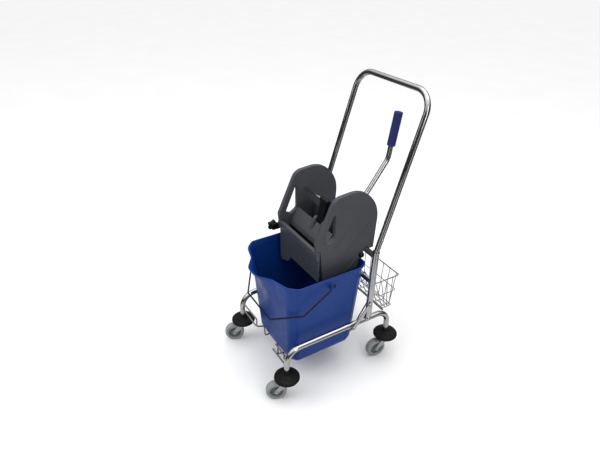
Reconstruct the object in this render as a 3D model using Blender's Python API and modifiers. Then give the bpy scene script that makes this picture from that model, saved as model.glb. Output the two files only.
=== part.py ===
# Single-bucket mopping trolley: chromed tube chassis on four castors, a lift-out bucket with a
# pouring spout and a bail, a down-press wringer with a lever, and a wire basket behind it.
# Metres. +X is the trolley's right side, the spout faces -Y, the push handle is at +Y, +Z is up.
import math

import bmesh
import bpy
from mathutils import Matrix, Vector

# ---------------------------------------------------------------- driving dimensions
FRAME_SHIFT = -0.00928       # moves the castor rectangle so that the whole trolley is centred on Y
TRACK = 0.3292               # castor stem to castor stem, across
WHEELBASE = 0.4060           # castor stem to castor stem, front to back
TUBE_R = 0.0095              # all the chromed structural tube
RAIL_Z = 0.1970
LEG_END_Z = 0.1060
LEG_BEND_R = 0.050

WHEEL_R = 0.0350
WHEEL_W = 0.0240
TRAIL = 0.0360
STEM_R = 0.0050
BUMPER_R = 0.0425
BUMPER_Z = 0.0850            # underside of the bumper's rim
CASTOR_YAW = {"front_left": -24.0, "front_right": -24.0, "rear_left": -16.0, "rear_right": -9.0}

UPRIGHT_X = 0.1692
UPRIGHT_FOOT_Y = 0.1120
UPRIGHT_KINK = (0.1240, 0.4660)      # y, z where the upright leans back
HANDLE_TOP = (0.2804, 0.9487)        # y, z of the top bar's centre line
HANDLE_CORNER_R = 0.062
SLEEVE_R = 0.0110                    # lower upright, which the handle plugs into
HANDLE_INSERT = 0.060

CROSS_UPPER = (0.1210, 0.4520)       # y, z
CROSS_LOWER = (0.1185, 0.3500)

RIM_Z = 0.4200
RIM_HALF_W = 0.1610
BUCKET_FLOOR_Z = 0.0840
BUCKET_WALL = 0.0025
RIM_LIP = 0.0060
SPOUT_START_Z = 0.2300
SPOUT_OUT = 0.0485                   # how far the lip of the spout stands out at the rim
SPOUT_ROOT = 0.0135                  # and how far its root does
BAIL_PIVOT = (-0.0370, 0.3840)       # y, z
BAIL_DROP_DEG = 31.7                 # how far below level the bail lies at rest
BAIL_WIRE_R = 0.0024
BAIL_SIDE_LEFT = 0.140               # along the side wall, then the slanting run to the grip
BAIL_SIDE_RIGHT = 0.123              # the wire has been bent a little shorter on this side
BAIL_REACH = 0.209
BAIL_HALF_W = 0.1680
BAIL_GRIP_HALF = 0.080

CHEEK_IN = 0.1070
CHEEK_OUT = 0.1220
SHAFT = (0.0320, 0.6000)             # y, z
SHAFT_R = 0.0050
CRANK_R = 0.0200
CRANK_DEG = 130.0
PLATE_LUG = (0.0060, 0.5460)         # y, z of the pin on the press plate
LEVER_X = 0.0800
LEVER_R = 0.0080
GRIP_R = 0.0135
LINK_X = 0.0280                      # the cranks and the push link sit to the right of the middle
CHEEK_FRONT = -0.0566                # front edge of the cheeks behind the front wall
WALL_TOP_Z = 0.5000
REAR_WALL_Y = 0.0600

BASKET_TOP_Z = 0.3360
BASKET_FLOOR_Z = 0.1900
BASKET_WALL = 0.0040
HOOK_X = 0.1200                      # the two hooks over the lower cross tube
HOOK_R = 0.0018

GAP = 0.0003                         # between touching pieces

for thing in list(bpy.data.objects):
    bpy.data.objects.remove(thing, do_unlink=True)

part_collection = bpy.data.collections.new("mopping_trolley")
cutter_collection = bpy.data.collections.new("cutters")
bpy.context.scene.collection.children.link(part_collection)
bpy.context.scene.collection.children.link(cutter_collection)


# ---------------------------------------------------------------- materials
def finish(name, colour, roughness, metallic=0.0):
    made = bpy.data.materials.new(name)
    made.use_nodes = True
    shader = made.node_tree.nodes["Principled BSDF"]
    shader.inputs["Base Color"].default_value = (*colour, 1.0)
    shader.inputs["Roughness"].default_value = roughness
    shader.inputs["Metallic"].default_value = metallic
    return made


CHROME = finish("chrome_tube", (0.72, 0.72, 0.70), 0.15, 1.0)
ZINC = finish("zinc_steel", (0.60, 0.63, 0.63), 0.38, 1.0)
BLUE = finish("blue_polypropylene", (0.012, 0.09, 0.42), 0.35)
GRIP_BLUE = finish("blue_grip", (0.012, 0.05, 0.32), 0.5)
GREY = finish("grey_polypropylene", (0.075, 0.078, 0.085), 0.5)
BLACK = finish("black_plastic", (0.012, 0.012, 0.013), 0.5)
RUBBER = finish("black_rubber", (0.014, 0.014, 0.014), 0.7)
TYRE = finish("grey_tyre", (0.26, 0.28, 0.26), 0.6)
HUB = finish("grey_hub", (0.20, 0.22, 0.21), 0.5)


# ---------------------------------------------------------------- making things
def place(obj, material, collection=part_collection):
    collection.objects.link(obj)
    if material is not None:
        obj.data.materials.append(material)
    return obj


def at(x, y, z):
    return Vector((x, y + FRAME_SHIFT, z))


def cutter(obj):
    obj.hide_render = True
    obj.display_type = "WIRE"
    return obj


def bent(corners, radii, steps=5):
    """Points along a path through the corners, each corner turned with its own radius."""
    points = [Vector(corners[0])]
    for i in range(1, len(corners) - 1):
        here = Vector(corners[i])
        back = (Vector(corners[i - 1]) - here).normalized()
        ahead = (Vector(corners[i + 1]) - here).normalized()
        half = back.angle(ahead) / 2
        if math.pi / 2 - half < 0.002:
            points += [here + (back * (steps - k) + ahead * k) * 0.001 / steps for k in range(steps + 1)]
            continue
        reach = radii[i - 1] / math.tan(half)
        centre = here + (back + ahead).normalized() * (radii[i - 1] / math.sin(half))
        start = here + back * reach - centre
        end = here + ahead * reach - centre
        turn = start.angle(end)
        for k in range(steps + 1):
            t = k / steps
            part = (start * math.sin((1 - t) * turn) + end * math.sin(t * turn)) / math.sin(turn)
            points.append(centre + part)
    points.append(Vector(corners[-1]))
    return points


def tube(name, points, radius, material, resolution=4):
    data = bpy.data.curves.new(name, "CURVE")
    data.dimensions = "3D"
    data.bevel_depth = radius
    data.bevel_resolution = resolution
    data.use_fill_caps = True
    spline = data.splines.new("POLY")
    spline.points.add(len(points) - 1)
    for spot, point in zip(spline.points, points):
        spot.co = (*point, 1.0)
    return place(bpy.data.objects.new(name, data), material)


def slab(name, outlines, thickness, material, place_at=(0, 0, 0), plane="YZ"):
    """A flat piece from closed outlines; the first is its edge and the others are holes."""
    data = bpy.data.curves.new(name, "CURVE")
    data.dimensions = "2D"
    data.fill_mode = "BOTH"
    data.extrude = thickness / 2
    for outline in outlines:
        spline = data.splines.new("POLY")
        spline.points.add(len(outline) - 1)
        spline.use_cyclic_u = True
        for spot, point in zip(spline.points, outline):
            spot.co = (point[0], point[1], 0.0, 1.0)
    obj = place(bpy.data.objects.new(name, data), material)
    if plane == "YZ":
        obj.matrix_world = Matrix.Translation(place_at) @ Matrix(
            ((0, 0, 1, 0), (1, 0, 0, 0), (0, 1, 0, 0), (0, 0, 0, 1)))
    else:
        obj.matrix_world = Matrix.Translation(place_at)
    return obj


def as_mesh(obj):
    """A curve made into a closed mesh, so that it can be cut or joined."""
    bpy.context.view_layer.update()
    shape = obj.evaluated_get(bpy.context.evaluated_depsgraph_get())
    data = bpy.data.meshes.new_from_object(shape)
    work = bmesh.new()
    work.from_mesh(data)
    bmesh.ops.remove_doubles(work, verts=work.verts, dist=1e-6)
    bmesh.ops.recalc_face_normals(work, faces=work.faces)
    work.to_mesh(data)
    work.free()
    name, matrix, home = obj.name, obj.matrix_world.copy(), obj.users_collection[0]
    bpy.data.objects.remove(obj, do_unlink=True)
    made = bpy.data.objects.new(name, data)
    home.objects.link(made)
    made.matrix_world = matrix
    return made


def rod(name, start, end, radius, material, sides=16, collection=part_collection):
    """A solid cylinder between two points."""
    start, end = Vector(start), Vector(end)
    data = bpy.data.meshes.new(name)
    work = bmesh.new()
    bmesh.ops.create_cone(work, cap_ends=True, segments=sides, radius1=radius, radius2=radius,
                          depth=(end - start).length)
    work.to_mesh(data)
    work.free()
    data.shade_smooth()
    data.set_sharp_from_angle(angle=math.radians(40))
    obj = place(bpy.data.objects.new(name, data), material, collection)
    turn = (end - start).to_track_quat("Z", "Y").to_matrix().to_4x4()
    obj.matrix_world = Matrix.Translation((start + end) / 2) @ turn
    return obj


def turned(name, profile, material, steps=24, closed=False):
    """A turned piece about its own Z axis, from a profile of (radius, z) that runs down its outside."""
    data = bpy.data.meshes.new(name)
    work = bmesh.new()
    spots = [work.verts.new((radius, 0.0, z)) for radius, z in profile]
    for a, b in zip(spots, spots[1:]):
        work.edges.new((a, b))
    if closed:
        work.edges.new((spots[-1], spots[0]))
    work.to_mesh(data)
    work.free()
    obj = place(bpy.data.objects.new(name, data), material)
    screw = obj.modifiers.new("turn", "SCREW")
    screw.steps = steps
    screw.render_steps = steps
    screw.use_merge_vertices = True
    screw.merge_threshold = 0.00001
    screw.use_smooth_shade = False
    return obj


def boolean(obj, other, operation):
    step = obj.modifiers.new(operation.lower(), "BOOLEAN")
    step.operation = operation
    step.object = other
    step.solver = "EXACT"
    return obj


def cut(obj, other):
    return boolean(obj, cutter(other), "DIFFERENCE")


def join(obj, other):
    """A second solid made part of this one."""
    home = other.users_collection[0]
    home.objects.unlink(other)
    cutter_collection.objects.link(other)
    return boolean(obj, cutter(other), "UNION")


def hang(obj, parent):
    matrix = obj.matrix_world.copy()
    obj.parent = parent
    obj.matrix_parent_inverse = parent.matrix_world.inverted()
    obj.matrix_world = matrix
    return obj


def pivot(name, location, turn_z=0.0):
    empty = bpy.data.objects.new(name, None)
    empty.empty_display_size = 0.03
    part_collection.objects.link(empty)
    empty.location = location
    empty.rotation_euler = (0.0, 0.0, turn_z)
    bpy.context.view_layer.update()
    return empty


def flat(corners, radii, steps=4):
    """A closed 2D outline with rounded corners."""
    outline = []
    count = len(corners)
    for i in range(count):
        path = bent([(*corners[i - 1], 0), (*corners[i], 0), (*corners[(i + 1) % count], 0)],
                    [radii[i]], steps)
        outline += [(p.x, p.y) for p in path[1:-1]]
    return outline


def face_outward(work):
    """Turns an open-topped shell's faces outward, so that its lowest face looks down."""
    bmesh.ops.recalc_face_normals(work, faces=work.faces)
    work.faces.ensure_lookup_table()
    lowest = min(work.faces, key=lambda face: face.calc_center_median().z)
    if lowest.normal.z > 0:
        bmesh.ops.reverse_faces(work, faces=work.faces)


def ring(radius, centre, count=16):
    return [(centre[0] + radius * math.cos(2 * math.pi * k / count),
             centre[1] + radius * math.sin(2 * math.pi * k / count)) for k in range(count)]


def shifted(outline):
    """A side-view outline moved into the trolley's frame."""
    return [(y + FRAME_SHIFT, z) for y, z in outline]


# ---------------------------------------------------------------- chassis
def chassis():
    half_base = WHEELBASE / 2
    for side, name in ((-1, "left"), (1, "right")):
        x = side * TRACK / 2
        corners = [at(x, -half_base, LEG_END_Z), at(x, -half_base, RAIL_Z),
                   at(x, half_base, RAIL_Z), at(x, half_base, LEG_END_Z)]
        frame = as_mesh(tube("side_frame_" + name, bent(corners, [LEG_BEND_R] * 2, 6), TUBE_R, CHROME))
        for end, where in ((-1, "front"), (1, "rear")):
            bore = rod("stem_bore_" + where + "_" + name, at(x, end * half_base, LEG_END_Z - 0.010),
                       at(x, end * half_base, LEG_END_Z + 0.036), STEM_R + 0.0006, None, 12,
                       cutter_collection)
            cut(frame, bore)

    lean = math.atan2(HANDLE_TOP[0] - UPRIGHT_KINK[0], HANDLE_TOP[1] - UPRIGHT_KINK[1])
    lean_way = Vector((0, math.sin(lean), math.cos(lean)))
    foot_z = RAIL_Z + TUBE_R + GAP
    handle_ends = {}
    for side, name in ((-1, "left"), (1, "right")):
        x = side * UPRIGHT_X
        kink = at(x, *UPRIGHT_KINK)
        sleeve_top = kink + lean_way * 0.004
        path = [at(x, UPRIGHT_FOOT_Y, foot_z), at(x, UPRIGHT_FOOT_Y + 0.001, 0.250),
                kink - Vector((0, 0, 0.004)), sleeve_top]
        upright = as_mesh(tube("upright_" + name, path, SLEEVE_R, CHROME))
        handle_ends[side] = kink - Vector((0, 0.0006, HANDLE_INSERT))
        bore_path = [handle_ends[side] - Vector((0, 0, 0.003)), kink, kink + lean_way * 0.030]
        bore = as_mesh(tube("upright_bore_" + name, bore_path, TUBE_R + 0.0004, None))
        cut(upright, move_to_cutters(bore))

    left, right = handle_ends[-1], handle_ends[1]
    top_left, top_right = at(-UPRIGHT_X, *HANDLE_TOP), at(UPRIGHT_X, *HANDLE_TOP)
    kink_left, kink_right = at(-UPRIGHT_X, *UPRIGHT_KINK), at(UPRIGHT_X, *UPRIGHT_KINK)
    handle_path = [left, kink_left] + bent([kink_left, top_left, top_right, kink_right],
                                           [HANDLE_CORNER_R] * 2, 7)[1:-1] + [kink_right, right]
    tube("push_handle", handle_path, TUBE_R, CHROME)
    for side, name in ((-1, "left"), (1, "right")):
        spot = at(side * UPRIGHT_X, *UPRIGHT_KINK) + lean_way * 0.046
        outward = Vector((side, 0, 0))
        screw = turned("handle_screw_" + name,
                       [(0, 0.0030), (0.0022, 0.0027), (0.0036, 0.0014), (0.0040, 0), (0, 0)],
                       ZINC, 12)
        screw.matrix_world = (Matrix.Translation(spot + outward * (TUBE_R + GAP))
                              @ outward.to_track_quat("Z", "Y").to_matrix().to_4x4())

    inner = UPRIGHT_X - TUBE_R - 0.0022
    for name, (y, z) in (("cross_tube_upper", CROSS_UPPER), ("cross_tube_lower", CROSS_LOWER)):
        rod(name, at(-inner, y, z), at(inner, y, z), TUBE_R, CHROME, 16)

    for side, name in ((-1, "left"), (1, "right")):
        x = side * (UPRIGHT_X + SLEEVE_R + GAP + 0.0015)
        low, high = Vector((0.0450, 0.1970)), Vector((0.1060, 0.2700))
        along = (high - low).normalized()
        across = Vector((-along.y, along.x)) * 0.0070
        ends = [low - along * 0.009 - across, high + along * 0.009 - across,
                high + along * 0.009 + across, low - along * 0.009 + across]
        holes = [ring(0.0034, tuple(low), 10), ring(0.0034, tuple(high), 10)]
        outline = flat([tuple(e) for e in ends], [0.006] * 4, 3)
        slab("brace_" + name, [shifted(outline)] + [shifted(h) for h in holes], 0.003, CHROME, (x, 0, 0))
        for end, spot in (("lower", low), ("upper", high)):
            inside = TRACK / 2 + TUBE_R + GAP if end == "lower" else UPRIGHT_X + SLEEVE_R + GAP
            head = turned("brace_bolt_" + end + "_" + name,
                          [(0, 0.0040), (0.0040, 0.0036), (0.0058, 0.0020), (0.0060, 0), (0.0030, 0),
                           (0.0030, -(abs(x) + 0.0015 + GAP - inside)),
                           (0, -(abs(x) + 0.0015 + GAP - inside))], ZINC, 12)
            outward = Vector((side, 0, 0))
            base = at(side * (abs(x) + 0.0015 + GAP), spot.x, spot.y)
            head.matrix_world = (Matrix.Translation(base)
                                 @ outward.to_track_quat("Z", "Y").to_matrix().to_4x4())


def move_to_cutters(obj):
    obj.users_collection[0].objects.unlink(obj)
    cutter_collection.objects.link(obj)
    return obj


# ---------------------------------------------------------------- wire cradle under the bucket
def cradle():
    front = -WHEELBASE / 2
    leg = TRACK / 2 - TUBE_R - GAP
    wire = 0.0026
    under = BUCKET_FLOOR_Z - GAP - wire
    rear_rod = (0.1830, 0.2028)

    def bend(name, corners, radii):
        points = [at(*corner) for corner in corners]
        return tube(name, bent(points, radii, 3) if radii else points, wire, CHROME, 2)

    bend("cradle_wire_left", [(-leg, front, 0.1400), (-0.052, front, 0.1380), (-0.052, -0.1730, 0.1260),
                              (-0.052, -0.1700, under), (-0.052, 0.1040, under), (-0.052, 0.1775, 0.1960)],
         [0.010, 0.006, 0.006, 0.020])
    bend("cradle_wire_right", [(0.095, front + 0.0056, 0.1770), (0.095, front + 0.0056, 0.1290),
                               (0.090, -0.1730, 0.1180), (0.088, -0.1700, under), (0.088, 0.1040, under),
                               (0.088, 0.1775, 0.1960)], [0.006, 0.006, 0.006, 0.020])
    bend("front_wire_upper_left", [(-leg, front, 0.1710), (-0.046, front, 0.1750), (-0.050, front, 0.1412)],
         [0.005])
    bend("front_wire_upper_right", [(leg, front, 0.1720), (0.0920, front, 0.1730)], [])
    bend("front_wire_lower_right", [(leg, front, 0.1320), (0.0700, front, 0.1340)], [])
    below = under - 2 * wire - GAP
    bend("cradle_cross_wire", [(-0.100, 0.030, below), (0.100, 0.030, below)], [])
    reach = TRACK / 2 - 0.003
    rod("rear_rod", at(-reach, *rear_rod), at(reach, *rear_rod), 0.0035, CHROME, 10)


# ---------------------------------------------------------------- castors
def castor(name, x, y, yaw_deg):
    """A swivel castor whose wheel trails towards -Y before it is turned to its yaw."""
    swivel = pivot("castor_" + name + "_swivel", at(x, y, 0.0))
    axle_z = WHEEL_R

    bumper = turned("bumper_" + name,
                    [(0.0056, LEG_END_Z - GAP), (0.0125, LEG_END_Z - GAP), (0.0165, 0.1010),
                     (0.0385, 0.0955), (BUMPER_R, 0.0925), (BUMPER_R, BUMPER_Z + 0.0012),
                     (0.0410, BUMPER_Z), (0.0360, BUMPER_Z), (0.0340, 0.0905), (0.0160, 0.0935),
                     (0.0120, 0.0870), (0.0056, 0.0870)], RUBBER, 28, closed=True)
    bumper.location = at(x, y, 0.0)

    crown_top = 0.0835
    fork = turned("castor_" + name + "_fork",
                  [(0, LEG_END_Z + 0.034), (0.0035, LEG_END_Z + 0.034), (STEM_R, LEG_END_Z + 0.031),
                   (STEM_R, crown_top), (0.0150, crown_top), (0.0170, crown_top - 0.002),
                   (0.0170, crown_top - 0.0060), (0, crown_top - 0.0060)], ZINC, 20)
    fork.location = at(x, y, 0.0)
    outline = flat([(0.0155, crown_top - 0.0040), (-0.0155, crown_top - 0.0040), (-0.0455, 0.0350),
                    (-TRAIL, 0.0255), (-0.0265, 0.0350)], [0.003, 0.004, 0.0085, 0.0085, 0.0085], 3)
    legs = []
    for side in (-1, 1):
        leg = as_mesh(slab("fork_leg", [[(v + y + FRAME_SHIFT, w) for v, w in outline]],
                           0.0020, ZINC, (x + side * 0.0143, 0, 0)))
        join(fork, leg)
        legs.append(leg)
    hole = rod("fork_hole_" + name, at(x - 0.03, y - TRAIL, axle_z), at(x + 0.03, y - TRAIL, axle_z),
               0.0043, None, 12, cutter_collection)
    cut(fork, hole)

    half = WHEEL_W / 2
    axle_at = at(x, y - TRAIL, axle_z)
    sideways = Matrix.Rotation(math.radians(90), 4, "Y")
    facet = Matrix.Rotation(math.pi / 28, 4, "Z")
    tyre = turned("castor_" + name + "_tyre",
                  [(0.0235, half), (WHEEL_R - 0.0035, half),
                    (WHEEL_R / math.cos(math.pi / 28), half - 0.0040),
                   (WHEEL_R / math.cos(math.pi / 28), 0.0040 - half), (WHEEL_R - 0.0035, -half),
                   (0.0235, -half)], TYRE, 28, closed=True)
    hub = turned("castor_" + name + "_hub",
                 [(0.0043, half + 0.0005), (0.0095, half + 0.0005), (0.0105, half - 0.0035),
                  (0.0200, half - 0.0045), (0.0232, half - 0.0015), (0.0232, 0.0015 - half),
                  (0.0200, 0.0045 - half), (0.0105, 0.0035 - half), (0.0095, -half - 0.0005),
                  (0.0043, -half - 0.0005)], HUB, 20, closed=True)
    axle = turned("castor_" + name + "_axle",
                  [(0, 0.0190), (0.0045, 0.0190), (0.0062, 0.0172), (0.0062, 0.0156), (0.0038, 0.0156),
                   (0.0038, -0.0156), (0.0062, -0.0156), (0.0062, -0.0190), (0, -0.0190)], ZINC, 12)
    for piece in (tyre, hub, axle):
        piece.matrix_world = Matrix.Translation(axle_at) @ sideways @ facet

    for piece in [fork, tyre, hub, axle, hole] + legs:
        hang(piece, swivel)
    swivel.rotation_euler = (0, 0, math.radians(yaw_deg))


# ---------------------------------------------------------------- bucket
def bucket_ring(z, inset, steps=3):
    """The bucket's outer wall seen from above at height z, pulled in by an inset."""
    s = (z - BUCKET_FLOOR_Z) / (RIM_Z - BUCKET_FLOOR_Z)
    spout = max(0.0, (z - SPOUT_START_Z) / (RIM_Z - SPOUT_START_Z)) ** 2

    def mix(low, high):
        return low + (high - low) * s

    front = mix(-0.1610, -0.1880)
    half = [(0.024, front - SPOUT_OUT * spout + inset),
            (0.072, front + 0.0008 - SPOUT_ROOT * spout + inset),
            (mix(0.098, 0.132) - 0.5 * inset, front + mix(0.002, 0.004) + inset),
            (mix(0.125, RIM_HALF_W) - inset, mix(-0.140, -0.1550) + 0.5 * inset),
            (mix(0.125, RIM_HALF_W) - inset, mix(0.058, 0.0780) - 0.3 * inset),
            (mix(0.112, 0.1430) - 0.7 * inset, mix(0.084, 0.1080) - inset),
            (0.030, mix(0.0860, 0.1105) - inset)]
    radii = [0.045, 0.045, mix(0.016, 0.040), mix(0.018, 0.022), mix(0.018, 0.016), mix(0.016, 0.020), 0.3]
    full = half + [(-x, y) for x, y in reversed(half)]
    both = radii + list(reversed(radii))
    return [(x, y + FRAME_SHIFT) for x, y in flat(full, both, steps)]


def bucket():
    lip = RIM_LIP
    rows = [(BUCKET_FLOOR_Z, 0.0150), (BUCKET_FLOOR_Z + 0.0040, 0.0055), (BUCKET_FLOOR_Z + 0.0120, 0.0010)]
    rows += [(z, lip * (z - BUCKET_FLOOR_Z) / (RIM_Z - BUCKET_FLOOR_Z))
             for z in (0.140, 0.200, 0.250, 0.300, 0.345, 0.385)]
    rows += [(RIM_Z - 0.0060, lip), (RIM_Z - 0.0012, lip - 0.0006), (RIM_Z, lip - 0.0022), (RIM_Z, 0.0010),
             (RIM_Z - 0.0012, 0.0), (RIM_Z - 0.0100, 0.0)]
    work = bmesh.new()
    loops = []
    for z, inset in rows:
        loops.append([work.verts.new((x, y, z)) for x, y in bucket_ring(min(z, RIM_Z), inset)])
    count = len(loops[0])
    for low, high in zip(loops, loops[1:]):
        for k in range(count):
            work.faces.new((low[k], low[(k + 1) % count], high[(k + 1) % count], high[k]))
    middle = work.verts.new((0, FRAME_SHIFT - 0.03, BUCKET_FLOOR_Z))
    for k in range(count):
        work.faces.new((middle, loops[0][(k + 1) % count], loops[0][k]))
    face_outward(work)
    data = bpy.data.meshes.new("bucket")
    work.to_mesh(data)
    work.free()
    obj = place(bpy.data.objects.new("bucket", data), BLUE)
    shell = obj.modifiers.new("wall", "SOLIDIFY")
    shell.thickness = BUCKET_WALL
    shell.offset = -1.0
    shell.use_even_offset = True
    hole = rod("bail_hole", at(-0.2, *BAIL_PIVOT), at(0.2, *BAIL_PIVOT), BAIL_WIRE_R + 0.0008, None, 12,
               cutter_collection)
    cut(obj, hole)

    drop = math.radians(BAIL_DROP_DEG)

    def on_bail(x, reach):
        return at(x, BAIL_PIVOT[0] - reach * math.cos(drop), BAIL_PIVOT[1] - reach * math.sin(drop))

    path = bent([on_bail(-0.142, 0), on_bail(-BAIL_HALF_W, 0), on_bail(-BAIL_HALF_W, BAIL_SIDE_LEFT),
                 on_bail(-BAIL_GRIP_HALF, BAIL_REACH), on_bail(BAIL_GRIP_HALF, BAIL_REACH),
                 on_bail(BAIL_HALF_W, BAIL_SIDE_RIGHT), on_bail(BAIL_HALF_W, 0), on_bail(0.142, 0)],
                [0.005, 0.012, 0.012, 0.012, 0.012, 0.005], 3)
    tube("bail", path, BAIL_WIRE_R, BLACK, 2)


# ---------------------------------------------------------------- wringer
def wringer():
    notch_y, notch_z = CROSS_UPPER
    notch = [(notch_y + (TUBE_R + 0.0005) * math.cos(math.radians(a)),
              notch_z + (TUBE_R + 0.0005) * math.sin(math.radians(a))) for a in range(0, 181, 20)]
    edge_y = notch_y - TUBE_R - 0.0005
    over_rim = RIM_Z + BUCKET_WALL + 2 * GAP
    outline = flat([(CHEEK_FRONT, 0.342), (-0.030, 0.340), (-0.026, 0.388), (0.090, 0.392),
                    (0.0945, over_rim), (edge_y, over_rim), (edge_y, notch_z)],
                   [0.006, 0.006, 0.006, 0.004, 0.003, 0.006, 0.001], 3)[:-4]
    outline += list(reversed(notch)) + [(0.1500, notch_z)]
    outline += flat([(0.1500, notch_z), (0.1605, 0.600), (0.098, 0.676), (-0.007, 0.668), (-0.072, 0.527),
                     (-0.0690, WALL_TOP_Z + GAP), (CHEEK_FRONT, WALL_TOP_Z + GAP), (CHEEK_FRONT, 0.342)],
                    [0.001, 0.110, 0.090, 0.040, 0.012, 0.002, 0.002, 0.001], 5)[6:-6]
    hand_hole = flat([(-0.003, 0.628), (-0.046, 0.528), (-0.026, 0.517), (-0.003, 0.532)],
                     [0.004, 0.006, 0.008, 0.010], 4)
    for side, name in ((-1, "left"), (1, "right")):
        x = side * (CHEEK_IN + CHEEK_OUT) / 2
        cheek = as_mesh(slab("cheek_" + name, [shifted(outline), shifted(hand_hole)],
                             CHEEK_OUT - CHEEK_IN, GREY, (x, 0, 0)))
        bore = rod("shaft_bore_" + name, at(side * (CHEEK_IN - 0.010), *SHAFT),
                   at(side * (CHEEK_IN + 0.009), *SHAFT), SHAFT_R + 0.0004, None, 14, cutter_collection)
        cut(cheek, bore)

    inside = CHEEK_IN - GAP
    back = CHEEK_FRONT - GAP
    wall = [(-0.0625, 0.3860), (back, 0.3860), (back, WALL_TOP_Z - 0.0025), (back - 0.0025, WALL_TOP_Z),
            (-0.0700, WALL_TOP_Z), (-0.0680, 0.4700), (-0.0590, 0.4690), (-0.0590, 0.4655),
            (-0.0625, 0.4655)]
    front = as_mesh(slab("front_wall", [shifted(wall)], 2 * CHEEK_OUT, GREY, (0, 0, 0)))
    left_end = [(-0.0625, 0.3440), (back, 0.3440), (back, 0.4000), (-0.0625, 0.4000)]
    join(front, as_mesh(slab("wall_end", [shifted(left_end)], 0.060, GREY, (0.030 - CHEEK_OUT, 0, 0))))
    rear = [(REAR_WALL_Y, 0.3963), (REAR_WALL_Y + 0.004, 0.3963), (REAR_WALL_Y + 0.004, 0.5400),
            (REAR_WALL_Y, 0.5400)]
    slab("rear_wall", [shifted(rear)], 2 * inside, GREY, (0, 0, 0))

    slots = []
    for k in range(9):
        x = (k - 4) * 0.0215
        slots.append([(x - 0.0045, -0.044 + FRAME_SHIFT), (x + 0.0045, -0.044 + FRAME_SHIFT),
                      (x + 0.0045, 0.074 + FRAME_SHIFT), (x - 0.0045, 0.074 + FRAME_SHIFT)])
    sieve_edge = [(-inside, -0.0567 + FRAME_SHIFT), (inside, -0.0567 + FRAME_SHIFT),
                  (inside, 0.0890 + FRAME_SHIFT), (-inside, 0.0890 + FRAME_SHIFT)]
    slab("sieve", [sieve_edge] + slots, 0.004, GREY, (0, 0, 0.3940), plane="XY")

    reach = CHEEK_IN + 0.0085
    rod("wringer_shaft", at(-reach, *SHAFT), at(reach, *SHAFT), SHAFT_R, CHROME, 14)
    pin = (SHAFT[0] + CRANK_R * math.cos(math.radians(CRANK_DEG)),
           SHAFT[1] + CRANK_R * math.sin(math.radians(CRANK_DEG)))
    for side, name in ((-1, "left"), (1, "right")):
        body = capsule(SHAFT, pin, 0.0100, 0.0075)
        slab("crank_" + name, [shifted(body), shifted(ring(SHAFT_R + GAP, SHAFT, 14))], 0.004, BLACK,
             (LINK_X + side * 0.0190, 0, 0))
    slab("push_link", [shifted(capsule(PLATE_LUG, pin, 0.0075, 0.0070))], 0.032, BLACK, (LINK_X, 0, 0))

    face = [(-0.0340, 0.4150), (-0.0270, 0.4150), (-0.0285, 0.4770), (-0.0225, 0.4920), (0.0030, 0.5330),
            (-0.0010, 0.5390), (-0.0285, 0.4970), (-0.0355, 0.4790)]
    plate = as_mesh(slab("press_plate", [shifted(face)], 2 * (CHEEK_IN - 0.003), GREY, (0, 0, 0)))
    for side in (-1, 1):
        lug_edge = flat([(-0.0240, 0.498), (-0.004, 0.512), (0.0150, 0.5460), (0.0060, 0.5570),
                         (-0.0060, 0.5500)],
                        [0.003, 0.003, 0.009, 0.009, 0.010], 3)
        lug = as_mesh(slab("plate_lug", [shifted(lug_edge)], 0.012, GREY, (LINK_X + side * 0.0230, 0, 0)))
        join(plate, lug)

    lever_path = bent([at(0.0515, 0.0340, 0.6141), at(LEVER_X, 0.0340, 0.6141), at(LEVER_X, 0.1350, 0.6270),
                       at(LEVER_X, 0.2140, 0.7330), at(LEVER_X, 0.2200, 0.7710),
                       at(LEVER_X, 0.2372, 0.8700)],
                      [0.018, 0.030, 0.050, 0.030], 4)
    tube("lever_tube", lever_path, LEVER_R, CHROME, 4)
    grip_foot, grip_end = at(LEVER_X, 0.2207, 0.7750), at(LEVER_X, 0.2390, 0.8790)
    length = (grip_end - grip_foot).length
    grip = turned("lever_grip",
                  [(0, length), (GRIP_R - 0.004, length), (GRIP_R, length - 0.004), (GRIP_R, 0.003),
                   (GRIP_R - 0.002, 0), (LEVER_R + 0.0006, 0), (LEVER_R + 0.0006, length - 0.007),
                   (0, length - 0.007)], GRIP_BLUE, 18)
    grip.matrix_world = (Matrix.Translation(grip_foot)
                         @ (grip_end - grip_foot).to_track_quat("Z", "Y").to_matrix().to_4x4())

    lug = flat([(-0.094, 0.462), (-0.048, 0.462), (-0.048, 0.486), (-0.094, 0.486)],
               [0.010, 0.003, 0.003, 0.010], 3)
    slab("clamp_lug", [shifted(lug)], 0.006, BLACK, (-(CHEEK_OUT + GAP + 0.003), 0, 0))
    star = []
    for k in range(40):
        angle = 2 * math.pi * k / 40
        radius = 0.0165 + 0.0024 * math.cos(5 * angle)
        star.append((-0.0820 + radius * math.cos(angle), 0.4740 + radius * math.sin(angle)))
    slab("clamp_knob", [shifted(star)], 0.014, BLACK, (-(CHEEK_OUT + 0.0090 + 0.0070), 0, 0))
    cap = turned("hook_screw", [(0, 0.0100), (0.0055, 0.0098), (0.0086, 0.0074), (0.0094, 0), (0, 0)],
                 BLACK, 16)
    cap.matrix_world = (Matrix.Translation(at(CHEEK_OUT + GAP, 0.1005, 0.4400))
                        @ Matrix.Rotation(math.radians(90), 4, "Y"))


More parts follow.
